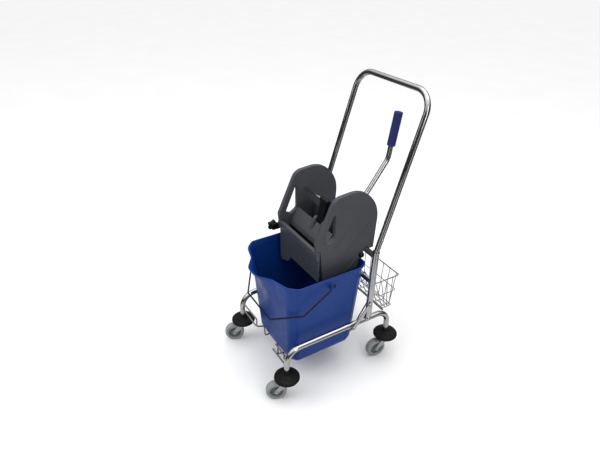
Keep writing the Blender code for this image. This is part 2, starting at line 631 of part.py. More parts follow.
def capsule(a, b, radius_a, radius_b, steps=8):
    """Outline round two circles, joined by straight sides."""
    along = math.atan2(b[1] - a[1], b[0] - a[0])
    outline = []
    for k in range(steps + 1):
        t = along - math.pi / 2 + math.pi * k / steps
        outline.append((b[0] + radius_b * math.cos(t), b[1] + radius_b * math.sin(t)))
    for k in range(steps + 1):
        t = along + math.pi / 2 + math.pi * k / steps
        outline.append((a[0] + radius_a * math.cos(t), a[1] + radius_a * math.sin(t)))
    return outline


# ---------------------------------------------------------------- wire basket, as a thin-walled bin
def basket():
    rows = [(BASKET_FLOOR_Z, 0.1460, 0.1960, 0.2370), (BASKET_TOP_Z, 0.1660, 0.1400, 0.2400)]
    work = bmesh.new()
    loops = []
    for z, half, front, rear in rows:
        loops.append([work.verts.new(at(x, y, z)) for x, y in
                      ((-half, front), (half, front), (half, rear), (-half, rear))])
    for k in range(4):
        work.faces.new((loops[0][k], loops[0][(k + 1) % 4], loops[1][(k + 1) % 4], loops[1][k]))
    work.faces.new(list(reversed(loops[0])))
    face_outward(work)
    data = bpy.data.meshes.new("wire_basket")
    work.to_mesh(data)
    work.free()
    obj = place(bpy.data.objects.new("wire_basket", data), CHROME)
    shell = obj.modifiers.new("wall", "SOLIDIFY")
    shell.thickness = BASKET_WALL
    shell.offset = -1.0
    shell.use_even_offset = True

    wrap = TUBE_R + GAP + HOOK_R
    for x in (-HOOK_X, HOOK_X):
        over = [at(x, CROSS_LOWER[0] + wrap * math.cos(math.radians(a)),
                   CROSS_LOWER[1] + wrap * math.sin(math.radians(a))) for a in range(0, 151, 25)]
        hook = tube("basket_hook", [at(x, 0.1420, BASKET_TOP_Z - 0.004)] + over, HOOK_R, CHROME, 2)
        join(obj, as_mesh(hook))


chassis()
cradle()
for end, where in ((-1, "front"), (1, "rear")):
    for side, hand in ((-1, "left"), (1, "right")):
        corner = where + "_" + hand
        castor(corner, side * TRACK / 2, end * WHEELBASE / 2, CASTOR_YAW[corner])
bucket()
wringer()
basket()
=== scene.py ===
import math

import bmesh
import bpy
from mathutils import Matrix, Vector


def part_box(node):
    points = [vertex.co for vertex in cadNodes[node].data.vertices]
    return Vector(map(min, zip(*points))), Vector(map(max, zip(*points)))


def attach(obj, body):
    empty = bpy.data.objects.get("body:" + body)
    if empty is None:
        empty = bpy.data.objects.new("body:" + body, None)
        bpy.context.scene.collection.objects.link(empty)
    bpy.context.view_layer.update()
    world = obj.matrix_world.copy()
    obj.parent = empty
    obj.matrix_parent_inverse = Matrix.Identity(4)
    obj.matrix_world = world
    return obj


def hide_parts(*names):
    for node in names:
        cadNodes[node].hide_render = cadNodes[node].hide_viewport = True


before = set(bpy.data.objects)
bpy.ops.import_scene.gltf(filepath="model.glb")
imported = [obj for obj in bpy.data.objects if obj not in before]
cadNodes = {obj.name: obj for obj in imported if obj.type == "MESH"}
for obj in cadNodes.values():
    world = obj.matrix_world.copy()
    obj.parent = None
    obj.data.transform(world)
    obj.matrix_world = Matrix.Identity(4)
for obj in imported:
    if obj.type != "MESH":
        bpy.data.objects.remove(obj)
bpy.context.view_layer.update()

corners = ["front_left", "front_right", "rear_left", "rear_right"]


def middleOf(node):
    low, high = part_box(node)
    return (low + high) / 2


# the castor rectangle is what everything else is set out from
frontStem, rearStem = middleOf("bumper_front_right"), middleOf("bumper_rear_right")
midY = (frontStem.y + rearStem.y) / 2
halfBase = (rearStem.y - frontStem.y) / 2
halfTrack = frontStem.x


def spot(x, y, z):
    # x and z as they are, y counted from the middle of the castors
    return Vector((x, y + midY, z))


print("frame loaded,", len(cadNodes), "nodes")


def newFinish(name, colour, roughness, metallic=0.0):
    made = bpy.data.materials.new(name)
    made.use_nodes = True
    shader = made.node_tree.nodes["Principled BSDF"]
    shader.inputs["Base Color"].default_value = (*colour, 1)
    shader.inputs["Roughness"].default_value = roughness
    shader.inputs["Metallic"].default_value = metallic
    return made, made.node_tree, shader


def noiseOn(tree, scale, detail=3.0, stretch=(1, 1, 1), rough=0.5):
    where = tree.nodes.new("ShaderNodeTexCoord")
    turn = tree.nodes.new("ShaderNodeMapping")
    turn.inputs["Scale"].default_value = stretch
    made = tree.nodes.new("ShaderNodeTexNoise")
    made.inputs["Scale"].default_value = scale
    made.inputs["Detail"].default_value = detail
    made.inputs["Roughness"].default_value = rough
    tree.links.new(where.outputs["Object"], turn.inputs["Vector"])
    tree.links.new(turn.outputs["Vector"], made.inputs["Vector"])
    return made.outputs["Fac"]


def remap(tree, source, low, high, toLow, toHigh):
    made = tree.nodes.new("ShaderNodeMapRange")
    for socket, value in zip(("From Min", "From Max", "To Min", "To Max"), (low, high, toLow, toHigh)):
        made.inputs[socket].default_value = value
    tree.links.new(source, made.inputs["Value"])
    return made.outputs["Result"]


def blendColour(tree, fac, first, second):
    made = tree.nodes.new("ShaderNodeMix")
    made.data_type = "RGBA"
    tree.links.new(fac, made.inputs["Factor"])
    for index, colour in ((6, first), (7, second)):
        if isinstance(colour, tuple):
            made.inputs[index].default_value = (*colour, 1)
        else:
            tree.links.new(colour, made.inputs[index])
    return made.outputs[2]


def addBump(tree, shader, height, strength, distance, after=None):
    bump = tree.nodes.new("ShaderNodeBump")
    bump.inputs["Strength"].default_value = strength
    bump.inputs["Distance"].default_value = distance
    tree.links.new(height, bump.inputs["Height"])
    if after is not None:
        tree.links.new(after.outputs["Normal"], bump.inputs["Normal"])
    tree.links.new(bump.outputs["Normal"], shader.inputs["Normal"])
    return bump


def chromeFinish(name, colour, dull):
    # bright plate with faint clouding, water spots and hairline scratches
    made, tree, shader = newFinish(name, colour, 0.1, 1.0)
    cloud = noiseOn(tree, 22, 4)
    spots = tree.nodes.new("ShaderNodeTexVoronoi")
    spots.inputs["Scale"].default_value = 260
    where = tree.nodes.new("ShaderNodeTexCoord")
    tree.links.new(where.outputs["Object"], spots.inputs["Vector"])
    spotted = remap(tree, spots.outputs["Distance"], 0.10, 0.22, 0.05, 0.0)
    clouded = remap(tree, cloud, 0.35, 0.7, 0.07 + dull, 0.17 + dull)
    add = tree.nodes.new("ShaderNodeMath")
    tree.links.new(clouded, add.inputs[0])
    tree.links.new(spotted, add.inputs[1])
    tree.links.new(add.outputs["Value"], shader.inputs["Roughness"])
    darker = tuple(c * 0.86 for c in colour)
    tree.links.new(blendColour(tree, remap(tree, cloud, 0.4, 0.75, 0, 1), colour, darker),
                   shader.inputs["Base Color"])
    addBump(tree, shader, noiseOn(tree, 420, 2, (1, 1, 0.12)), 0.05, 0.0002)
    return made


def mouldedFinish(name, colour, worn, roughness, grain, bump, shine=0.5):
    # injection-moulded plastic: slow colour drift, fine grain, pale scuffs where it is handled
    made, tree, shader = newFinish(name, colour, roughness)
    shader.inputs["Specular IOR Level"].default_value = shine
    drift = remap(tree, noiseOn(tree, 9, 3), 0.3, 0.75, 0, 0.45)
    base = blendColour(tree, drift, colour, tuple(c * 0.72 for c in colour))
    scuff = remap(tree, noiseOn(tree, 34, 6, (1, 0.35, 1.6), 0.6), 0.60, 0.85, 0, 0.22)
    tree.links.new(blendColour(tree, scuff, base, worn), shader.inputs["Base Color"])
    tree.links.new(remap(tree, noiseOn(tree, 60, 5), 0.3, 0.7, roughness - 0.05, roughness + 0.09),
                   shader.inputs["Roughness"])
    flow = addBump(tree, shader, noiseOn(tree, 30, 2), 0.06, 0.002)
    addBump(tree, shader, noiseOn(tree, grain, 3), bump, 0.0004, flow)
    return made


def zincFinish():
    # pressed steel under bright zinc, slightly crystalline
    colour = (0.54, 0.58, 0.60)
    made, tree, shader = newFinish("zincPlate", colour, 0.36, 1.0)
    cells = tree.nodes.new("ShaderNodeTexVoronoi")
    cells.inputs["Scale"].default_value = 340
    where = tree.nodes.new("ShaderNodeTexCoord")
    tree.links.new(where.outputs["Object"], cells.inputs["Vector"])
    tree.links.new(blendColour(tree, remap(tree, cells.outputs["Color"], 0, 1, 0, 1), colour,
                               (0.40, 0.44, 0.46)), shader.inputs["Base Color"])
    tree.links.new(remap(tree, noiseOn(tree, 90, 5), 0.3, 0.7, 0.28, 0.48), shader.inputs["Roughness"])
    addBump(tree, shader, noiseOn(tree, 700, 2), 0.08, 0.0002)
    return made


def rubberFinish(name, colour, dusty, roughness, grain, shine=0.4):
    # rubber with floor dust in its low spots
    made, tree, shader = newFinish(name, colour, roughness)
    shader.inputs["Specular IOR Level"].default_value = shine
    dust = remap(tree, noiseOn(tree, 46, 6, rough=0.7), 0.48, 0.78, 0, 0.55)
    tree.links.new(blendColour(tree, dust, colour, dusty), shader.inputs["Base Color"])
    tree.links.new(remap(tree, noiseOn(tree, 120, 4), 0.3, 0.7, roughness - 0.08, roughness + 0.12),
                   shader.inputs["Roughness"])
    addBump(tree, shader, noiseOn(tree, grain, 4), 0.25, 0.0005)
    return made


chrome = chromeFinish("chromePlate", (0.56, 0.56, 0.545), 0.0)
chromeWire = chromeFinish("chromeWire", (0.33, 0.33, 0.32), 0.06)
zinc = zincFinish()
blueMould = mouldedFinish("blueMould", (0.005, 0.040, 0.225), (0.010, 0.055, 0.27), 0.33, 900, 0.05, 0.22)
gripMould = mouldedFinish("gripMould", (0.013, 0.024, 0.135), (0.03, 0.05, 0.20), 0.55, 1400, 0.2, 0.3)
greyMould = mouldedFinish("greyMould", (0.062, 0.066, 0.075), (0.10, 0.105, 0.115), 0.44, 1600, 0.22, 0.4)
blackMould = mouldedFinish("blackMould", (0.004, 0.004, 0.005), (0.014, 0.014, 0.015), 0.42, 1500, 0.15,
                           0.3)
# near-black rubber for the floor caps; also used for the press pad, where it is painted shade for the slot
# behind the front bar
capRubberAndShadePad = rubberFinish("capRubberAndShadePad", (0.0035, 0.0035, 0.0035), (0.012, 0.0115, 0.011), 0.62, 900, 0.2)
tyreRubber = rubberFinish("tyreRubber", (0.25, 0.275, 0.26), (0.15, 0.155, 0.14), 0.60, 700)
hubMould = mouldedFinish("hubMould", (0.14, 0.165, 0.155), (0.20, 0.21, 0.20), 0.50, 900, 0.15)
print("finishes ready")


def link(obj):
    bpy.context.scene.collection.objects.link(obj)
    return obj


def fit(obj, finish, body, stands=()):
    # gives the piece its finish, its body and the nodes it stands for
    obj.data.materials.clear()
    obj.data.materials.append(finish)
    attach(obj, body)
    if stands:
        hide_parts(*stands)
    return obj


def bendPath(points, radii, steps=8):
    # straight runs through the points, each inner point turned on its own radius
    path = [Vector(points[0])]
    for i in range(1, len(points) - 1):
        here = Vector(points[i])
        back = (Vector(points[i - 1]) - here).normalized()
        ahead = (Vector(points[i + 1]) - here).normalized()
        half = back.angle(ahead) / 2
        if math.pi / 2 - half < 0.002:
            path += [here + (back * (steps - k) + ahead * k) * 0.001 / steps for k in range(steps + 1)]
            continue
        centre = here + (back + ahead).normalized() * (radii[i - 1] / math.sin(half))
        reach = radii[i - 1] / math.tan(half)
        start, end = here + back * reach - centre, here + ahead * reach - centre
        turn = start.angle(end)
        for k in range(steps + 1):
            t = k / steps
            path.append(centre + (start * math.sin((1 - t) * turn) + end * math.sin(t * turn))
                        / math.sin(turn))
    path.append(Vector(points[-1]))
    return path


def tubeAlong(name, path, radius, sides=24, cyclic=False):
    data = bpy.data.curves.new(name, "CURVE")
    data.dimensions = "3D"
    data.bevel_depth = radius
    data.bevel_resolution = (sides - 4) // 2
    data.use_fill_caps = True
    line = data.splines.new("POLY")
    line.points.add(len(path) - 1)
    line.use_cyclic_u = cyclic
    for point, place in zip(line.points, path):
        point.co = (*place, 1)
    return link(bpy.data.objects.new(name, data))


def outline2d(points, radii, steps=6):
    # closed flat outline with rounded corners
    shape = []
    for i in range(len(points)):
        three = [(*points[i - 1], 0), (*points[i], 0), (*points[(i + 1) % len(points)], 0)]
        shape += [(p.x, p.y) for p in bendPath(three, [radii[i]], steps)[1:-1]]
    return shape


def plateFrom(name, outlines, thickness, edge=0.0, steps=2):
    # flat stock lying in XY with its edges rounded over by edge
    data = bpy.data.curves.new(name, "CURVE")
    data.dimensions = "2D"
    data.fill_mode = "BOTH"
    data.extrude = thickness / 2 - edge
    data.bevel_depth = edge
    data.bevel_resolution = steps
    data.offset = -edge
    for shape in outlines:
        line = data.splines.new("POLY")
        line.points.add(len(shape) - 1)
        line.use_cyclic_u = True
        for point, place in zip(line.points, shape):
            point.co = (place[0], place[1], 0, 1)
    return link(bpy.data.objects.new(name, data))


upright = Matrix(((0, 0, 1, 0), (1, 0, 0, 0), (0, 1, 0, 0), (0, 0, 0, 1)))


def standUp(obj, x):
    # turns XY stock so that it lies in the YZ plane at x
    obj.matrix_world = Matrix.Translation((x, midY, 0)) @ upright
    return obj


def meshFrom(name, build, smooth=35):
    # runs build on an empty bmesh and links the result
    work = bmesh.new()
    build(work)
    bmesh.ops.recalc_face_normals(work, faces=work.faces)
    data = bpy.data.meshes.new(name)
    work.to_mesh(data)
    work.free()
    data.shade_smooth()
    data.set_sharp_from_angle(angle=math.radians(smooth))
    return link(bpy.data.objects.new(name, data))


def turnedFrom(name, profile, around=48, closed=True, smooth=35):
    # lathe work about Z: profile is (radius, height) pairs, a zero radius closes on the axis
    def build(work):
        rings = []
        for radius, height in profile:
            if radius < 1e-6:
                rings.append([work.verts.new((0, 0, height))])
            else:
                rings.append([work.verts.new((radius * math.cos(2 * math.pi * k / around),
                                              radius * math.sin(2 * math.pi * k / around), height))
                              for k in range(around)])
        pairs = list(zip(rings, rings[1:]))
        if closed and len(rings[0]) > 1 and len(rings[-1]) > 1:
            pairs.append((rings[-1], rings[0]))
        for first, second in pairs:
            for k in range(around):
                n = (k + 1) % around
                if len(first) == 1 and len(second) == 1:
                    continue
                if len(first) == 1:
                    work.faces.new((first[0], second[k], second[n]))
                elif len(second) == 1:
                    work.faces.new((first[k], first[n], second[0]))
                else:
                    work.faces.new((first[k], first[n], second[n], second[k]))
    return meshFrom(name, build, smooth)


def roundOver(obj, width, segments=2, angle=40):
    step = obj.modifiers.new("edge", "BEVEL")
    step.width = width
    step.segments = segments
    step.limit_method = "ANGLE"
    step.angle_limit = math.radians(angle)
    step.harden_normals = True
    return obj


def bake(obj):
    # modifiers and curve bevels made into plain mesh, where the object stands
    bpy.context.view_layer.update()
    shape = obj.evaluated_get(bpy.context.evaluated_depsgraph_get())
    data = bpy.data.meshes.new_from_object(shape)
    data.transform(obj.matrix_world)
    name = obj.name
    bpy.data.objects.remove(obj, do_unlink=True)
    made = bpy.data.objects.new(name, data)
    made.name = name
    return link(made)


def joined(objs):
    # several baked pieces as one mesh under the first one's name
    name = objs[0].name
    work = bmesh.new()
    for obj in objs:
        data = bake(obj)
        work.from_mesh(data.data)
        if data.name != name or data is not objs[0]:
            bpy.data.objects.remove(data, do_unlink=True)
    mesh = bpy.data.meshes.new(name)
    work.to_mesh(mesh)
    work.free()
    made = bpy.data.objects.new(name, mesh)
    made.name = name
    return link(made)


def lookAlong(where, way, spin=0.0):
    return (Matrix.Translation(where) @ Vector(way).to_track_quat("Z", "Y").to_matrix().to_4x4()
            @ Matrix.Rotation(spin, 4, "Z"))


# sizes in metres, places as (y, z) or (x, y, z) from the middle of the castors
chassisSize = {
    "tube": 0.0095, "bend": 0.050, "sleeve": 0.0110,
    "rail": 0.1970, "legEnd": 0.1060,
    "uprightX": 0.1692, "foot": (0.1120, 0.2068), "kink": (0.1240, 0.4660), "handle": (0.2804, 0.9487),
    "handleCorner": 0.062, "plugIn": 0.060,
    "crossUpper": (0.1210, 0.4520), "crossLower": (0.1185, 0.3500),
}


def makeRails():
    c = chassisSize
    for side, hand in ((-1, "left"), (1, "right")):
        x = side * halfTrack
        path = bendPath([spot(x, -halfBase, c["legEnd"]), spot(x, -halfBase, c["rail"]),
                         spot(x, halfBase, c["rail"]), spot(x, halfBase, c["legEnd"])], [c["bend"]] * 2, 16)
        fit(tubeAlong("rail_tube_" + hand, path, c["tube"], 28), chrome, "chassis",
            ["side_frame_" + hand])


def makeUprights():
    c = chassisSize
    kinkY, kinkZ = c["kink"]
    lean = Vector((0, c["handle"][0] - kinkY, c["handle"][1] - kinkZ)).normalized()
    for side, hand in ((-1, "left"), (1, "right")):
        x = side * c["uprightX"]
        kink = spot(x, kinkY, kinkZ)
        up = (kink - spot(x, *c["foot"])).normalized()
        course = bendPath([spot(x, *c["foot"]), kink - up * 0.004, kink + lean * 0.0035], [0.004], 5)
        sleeve = tubeAlong("sleeve", course, c["sleeve"], 28)
        collar = turnedFrom("collar", [(c["tube"] + 0.0002, 0.0035), (c["sleeve"] + 0.0004, 0.0035),
                                       (c["sleeve"] + 0.0008, 0.0020), (c["sleeve"] + 0.0008, -0.0015),
                                       (c["sleeve"] + 0.0002, -0.003), (c["tube"] + 0.0002, -0.003)], 40)
        collar.matrix_world = lookAlong(kink + lean * 0.0005, lean)
        fillet = turnedFrom("fillet", [(c["sleeve"] - 0.001, 0.006), (c["sleeve"] + 0.0004, 0.004),
                                       (c["sleeve"] + 0.0016, 0.0012), (c["sleeve"] + 0.0020, -0.0030),
                                       (c["sleeve"] - 0.001, -0.0045)], 40)
        fillet.matrix_world = Matrix.Translation(spot(x, *c["foot"]) + Vector((0, 0, 0.0005)))
        post = joined([sleeve, collar, fillet])
        post.name = "upright_post_" + hand
        fit(post, chrome, "chassis", ["upright_" + hand])

    ends = [spot(s * c["uprightX"], kinkY, kinkZ) for s in (-1, 1)]
    tops = [spot(s * c["uprightX"], *c["handle"]) for s in (-1, 1)]
    drop = Vector((0, 0, c["plugIn"]))
    path = [ends[0] - drop] + bendPath([ends[0], tops[0], tops[1], ends[1]], [c["handleCorner"]] * 2, 20)
    path.append(ends[1] - drop)
    bow = tubeAlong("handle_bow", path, c["tube"] - 0.0003, 28)
    fit(bow, chrome, "chassis", ["push_handle"])

    for side, hand in ((-1, "left"), (1, "right")):
        where = ends[0 if side < 0 else 1] + lean * 0.046
        screw = turnedFrom("handle_rivet_" + hand,
                           [(0, 0.0029), (0.0016, 0.0027), (0.0030, 0.0018), (0.0038, 0.0004),
                            (0.0040, 0.0), (0.0040, -0.0002), (0, -0.0002)], 28)
        screw.matrix_world = lookAlong(where + Vector((side * (c["tube"] + 0.0003), 0, 0)), (side, 0, 0))
        fit(screw, zinc, "chassis", ["handle_screw_" + hand])

    for name, node in (("cross_bar_upper", "cross_tube_upper"), ("cross_bar_lower", "cross_tube_lower")):
        low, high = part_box(node)
        centre = (low + high) / 2
        bar = tubeAlong(name, [Vector((low.x, centre.y, centre.z)), Vector((0, centre.y, centre.z)),
                               Vector((high.x, centre.y, centre.z))], c["tube"], 28)
        fit(bar, chrome, "chassis", [node])


def makeBraces():
    size = {"low": (0.0450, 0.1970), "high": (0.1060, 0.2700), "half": 0.0070, "thick": 0.003,
            "end": 0.009, "bolt": 0.0058, "head": 0.0040}
    low, high = Vector(size["low"]), Vector(size["high"])
    along = (high - low).normalized()
    across = Vector((-along.y, along.x)) * size["half"]

    def strip(inset, wide, radius, steps):
        first, last, edge = low + along * inset, high - along * inset, across * wide
        ends = [first - edge, last - edge, last + edge, first + edge]
        return outline2d([tuple(end) for end in ends], [radius] * 4, steps)

    for side, hand in ((-1, "left"), (1, "right")):
        x = middleOf("brace_" + hand).x
        strap = standUp(plateFrom("strap", [strip(-size["end"], 1, 0.0065, 6)], size["thick"], 0.0007), x)
        rib = standUp(plateFrom("rib", [strip(0.014, 0.3, 0.002, 4)], 0.0016, 0.0007),
                      x + side * size["thick"] * 0.42)
        plate = joined([strap, rib])
        plate.name = "brace_strap_" + hand
        fit(plate, chrome, "chassis", ["brace_" + hand])
        for end, place in (("lower", low), ("upper", high)):
            node = "brace_bolt_%s_%s" % (end, hand)
            nodeLow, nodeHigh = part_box(node)
            depth, head = nodeHigh.x - nodeLow.x, size["head"]
            bolt = turnedFrom(node.replace("bolt", "rivet"),
                              [(0, head), (0.0028, head * 0.94), (0.0047, head * 0.62),
                               (size["bolt"], 0.0004), (size["bolt"], 0), (0.0030, 0),
                               (0.0030, head - depth), (0, head - depth)], 28)
            outer = nodeHigh.x if side > 0 else nodeLow.x
            seat = Vector((outer - side * head, place.x + midY, place.y))
            bolt.matrix_world = lookAlong(seat, (side, 0, 0))
            fit(bolt, zinc, "chassis", [node])


makeRails()
makeUprights()
makeBraces()
print("chassis tubes done")


# wires that the bucket stands on
def makeCradle():
    size = {"wire": 0.0026, "clear": 0.0003}
    wire, front = size["wire"], -halfBase
    leg = halfTrack - chassisSize["tube"] - size["clear"]
    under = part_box("bucket")[0].z - size["clear"] - wire
    below = under - 2 * wire - size["clear"]
    runs = {
        "cradle_wire_left": ([(-leg, front, 0.1400), (-0.052, front, 0.1380), (-0.052, -0.1730, 0.1260),
                              (-0.052, -0.1700, under), (-0.052, 0.1040, under), (-0.052, 0.1775, 0.1960)],
                             [0.010, 0.006, 0.006, 0.020]),
        "cradle_wire_right": ([(0.095, front + 0.0056, 0.1770), (0.095, front + 0.0056, 0.1290),
                               (0.090, -0.1730, 0.1180), (0.088, -0.1700, under), (0.088, 0.1040, under),
                               (0.088, 0.1775, 0.1960)], [0.006, 0.006, 0.006, 0.020]),
        "front_wire_upper_left": ([(-leg, front, 0.1710), (-0.046, front, 0.1750), (-0.050, front, 0.1412)],
                                  [0.005]),
        "front_wire_upper_right": ([(leg, front, 0.1720), (0.0920, front, 0.1730)], []),
        "front_wire_lower_right": ([(leg, front, 0.1320), (0.0700, front, 0.1340)], []),
        "cradle_cross_wire": ([(-0.100, 0.030, below), (0.100, 0.030, below)], []),
    }
    for node, (points, radii) in runs.items():
        path = bendPath([spot(*p) for p in points], radii, 6)
        rod = tubeAlong(node.replace("wire", "rod"), path, wire, 12)
        fit(rod, chromeWire, "chassis", [node])
    low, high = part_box("rear_rod")
    centre = (low + high) / 2
    fit(tubeAlong("rear_stay", [Vector((low.x, centre.y, centre.z)), Vector((high.x, centre.y, centre.z))],
                  (high.z - low.z) / 2, 16), chromeWire, "chassis", ["rear_rod"])


makeCradle()
print("cradle wires done")


castorSize = {
    "wheel": 0.0350, "width": 0.0240, "trail": 0.0360, "stem": 0.0050,
    "cap": 0.0425, "capZ": 0.0850, "tubeEnd": 0.1060, "crown": 0.0835,
    "forkGap": 0.0143, "sheet": 0.0020,
}


def makeCap(corner):
    c = castorSize
    z, r = c["capZ"], c["cap"]
    profile = [(0.0056, 0.1057), (0.0118, 0.1057), (0.0128, 0.1050), (0.0136, 0.1035), (0.0150, 0.1018),
               (0.0180, 0.1008), (0.0260, 0.0988), (0.0350, 0.0962), (0.0392, 0.0948), (0.0400, 0.0938),
               (0.0404, 0.0927), (0.0416, 0.0922), (r - 0.0003, 0.0910), (r, 0.0895), (r, z + 0.0016),
               (r - 0.0005, z + 0.0005), (0.0410, z), (0.0366, z), (0.0355, z + 0.0008), (0.0342, 0.0900),
               (0.0160, 0.0935), (0.0120, 0.0875), (0.0112, 0.0870), (0.0056, 0.0870)]
    cap = turnedFrom("floor_cap_" + corner, profile, 64)
    stem = middleOf("bumper_" + corner)
    cap.matrix_world = Matrix.Translation((stem.x, stem.y, 0))
    fit(cap, capRubberAndShadePad, "chassis", ["bumper_" + corner])


def castorTurn(corner):
    # where the wheel stands relative to the stem gives the castor's turn
    stem, wheel = middleOf("bumper_" + corner), middleOf("castor_%s_tyre" % corner)
    return stem, math.atan2(wheel.x - stem.x, stem.y - wheel.y)


def makeFork(corner):
    c = castorSize
    stem, turn = castorTurn(corner)
    crown, sheet = c["crown"], c["sheet"]
    head = turnedFrom("head", [(0, 0.1400), (0.0035, 0.1400), (c["stem"], 0.1368), (c["stem"], crown),
                               (0.0095, crown), (0.0140, crown - 0.0004), (0.0158, crown - 0.0014),
                               (0.0166, crown - 0.0030), (0.0168, crown - 0.0056), (0, crown - 0.0056)], 40)
    parts = [head]
    face = [(0.0150, crown - 0.0050), (-0.0150, crown - 0.0050), (-0.0400, 0.0440), (-0.0445, 0.0350),
            (-c["trail"], 0.0262), (-0.0275, 0.0350)]
    for side in (-1, 1):
        shape = outline2d(face, [0.003, 0.004, 0.006, 0.0088, 0.0088, 0.0085], 6)
        leg = plateFrom("leg", [shape], sheet, 0.0006)
        leg.matrix_world = Matrix.Translation((side * c["forkGap"], 0, 0)) @ upright
        parts.append(leg)
    top = roundOver(meshFrom("top", lambda work: bmesh.ops.create_cube(
        work, size=1, matrix=Matrix.Translation((0, -0.001, crown - 0.0066))
        @ Matrix.Diagonal((2 * c["forkGap"] + sheet, 0.029, 0.0022, 1)))), 0.0008)
    parts.append(top)
    fork = joined(parts)
    fork.name = "castor_fork_" + corner
    fork.matrix_world = Matrix.Translation((stem.x, stem.y, 0)) @ Matrix.Rotation(turn, 4, "Z")
    fit(fork, zinc, "castor_" + corner, ["castor_%s_fork" % corner])

    pin = turnedFrom("pin", [(0, 0.0186), (0.0040, 0.0182), (0.0058, 0.0170), (0.0062, 0.0158),
                             (0.0062, 0.0156), (0.0038, 0.0156), (0.0038, -0.0156), (0, -0.0156)], 28)
    nut = turnedFrom("nut", [(0, -0.0156), (0.0061, -0.0156), (0.0061, -0.0180), (0.0052, -0.0190),
                             (0.0030, -0.0190), (0, -0.0186)], 6, smooth=20)
    axle = joined([pin, nut])
    axle.name = "castor_axle_" + corner
    axle.matrix_world = (Matrix.Translation((stem.x, stem.y, 0)) @ Matrix.Rotation(turn, 4, "Z")
                         @ Matrix.Translation((0, -c["trail"], c["wheel"]))
                         @ Matrix.Rotation(math.radians(90), 4, "Y"))
    fit(axle, zinc, "castor_" + corner, ["castor_%s_axle" % corner])


def makeWheel(corner):
    c = castorSize
    stem, turn = castorTurn(corner)
    half, r = c["width"] / 2, c["wheel"]
    tread = []
    crownArc = [(-1, 0.0), (-0.96, 0.28), (-0.86, 0.55), (-0.70, 0.78), (-0.50, 0.92), (-0.26, 0.985),
                (0, 1.0)]
    for u, v in crownArc + [(-a, b) for a, b in reversed(crownArc[:-1])]:
        tread.append((r - 0.0040 * (1 - v), half * u))
    profile = [(0.0238, -half + 0.0004), (0.0270, -half), (0.0285, -half + 0.0005), (0.0295, -half)]
    profile += tread + [(0.0295, half), (0.0285, half - 0.0005), (0.0270, half), (0.0238, half - 0.0004)]
    tyre = turnedFrom("wheel_tyre_" + corner, profile, 72, smooth=50)
    spin = (Matrix.Translation((stem.x, stem.y, 0)) @ Matrix.Rotation(turn, 4, "Z")
            @ Matrix.Translation((0, -c["trail"], r)) @ Matrix.Rotation(math.radians(90), 4, "Y"))
    tyre.matrix_world = spin
    fit(tyre, tyreRubber, "wheel_" + corner, ["castor_%s_tyre" % corner])

    face = [(0.0043, half + 0.0004), (0.0086, half + 0.0004), (0.0094, half - 0.0006),
            (0.0100, half - 0.0060), (0.0186, half - 0.0070), (0.0200, half - 0.0030),
            (0.0206, half - 0.0016), (0.0230, half - 0.0012), (0.0236, half - 0.0020)]
    hub = turnedFrom("hub", face + [(a, -b) for a, b in reversed(face)], 56)
    parts = [hub]
    for k in range(6):
        angle = 2 * math.pi * k / 6
        web = roundOver(meshFrom("web", lambda work: bmesh.ops.create_cube(
            work, size=1, matrix=Matrix.Diagonal((0.0115, 0.0022, 2 * half - 0.0050, 1)))), 0.0005)
        web.matrix_world = Matrix.Rotation(angle, 4, "Z") @ Matrix.Translation((0.0147, 0, 0))
        parts.append(web)
    wheel = joined(parts)
    wheel.name = "wheel_hub_" + corner
    wheel.matrix_world = spin
    fit(wheel, hubMould, "wheel_" + corner, ["castor_%s_hub" % corner])


for corner in corners:
    makeCap(corner)
    makeFork(corner)
    makeWheel(corner)
print("castors done")


bailSize = {
    "pivot": (-0.0370, 0.3840), "drop": 31.7, "wire": 0.0028, "side": (0.140, 0.123), "reach": 0.209,
    "half": 0.1680, "grip": 0.080,
}
bucketSize = {
    "rim": 0.4200, "floor": 0.0840, "rimHalf": 0.1610, "wall": 0.0025, "lip": 0.0060,
    "spoutFrom": 0.2300, "spoutOut": 0.0485, "spoutRoot": 0.0135,
}


def bucketRing(z, inset, steps=10, straight=10):
    # outside of the wall seen from above at height z
    b = bucketSize
    s = (z - b["floor"]) / (b["rim"] - b["floor"])
    spout = max(0.0, (z - b["spoutFrom"]) / (b["rim"] - b["spoutFrom"])) ** 2

    def mix(low, high):
        return low + (high - low) * s

    front = mix(-0.1610, -0.1880)
    half = [(0.024, front - b["spoutOut"] * spout + inset),
            (0.072, front + 0.0008 - b["spoutRoot"] * spout + inset),
            (mix(0.098, 0.132) - 0.5 * inset, front + mix(0.002, 0.004) + inset),
            (mix(0.125, b["rimHalf"]) - inset, mix(-0.140, -0.1550) + 0.5 * inset),
            (mix(0.125, b["rimHalf"]) - inset, mix(0.058, 0.0780) - 0.3 * inset),
            (mix(0.112, 0.1430) - 0.7 * inset, mix(0.084, 0.1080) - inset),
            (0.030, mix(0.0860, 0.1105) - inset)]
    radii = [0.045, 0.045, mix(0.016, 0.040), mix(0.018, 0.022), mix(0.018, 0.016), mix(0.016, 0.020), 0.3]
    full = half + [(-x, y) for x, y in reversed(half)]
    both = radii + list(reversed(radii))
    shape = outline2d(full, both, steps)
    # straight runs get extra points so that shading stays even
    ring = []
    count = len(shape)
    for i, (x, y) in enumerate(shape):
        nx, ny = shape[(i + 1) % count]
        ring.append((x, y))
        if (i + 1) % (steps + 1) == 0:
            for k in range(1, straight):
                ring.append((x + (nx - x) * k / straight, y + (ny - y) * k / straight))
    return ring


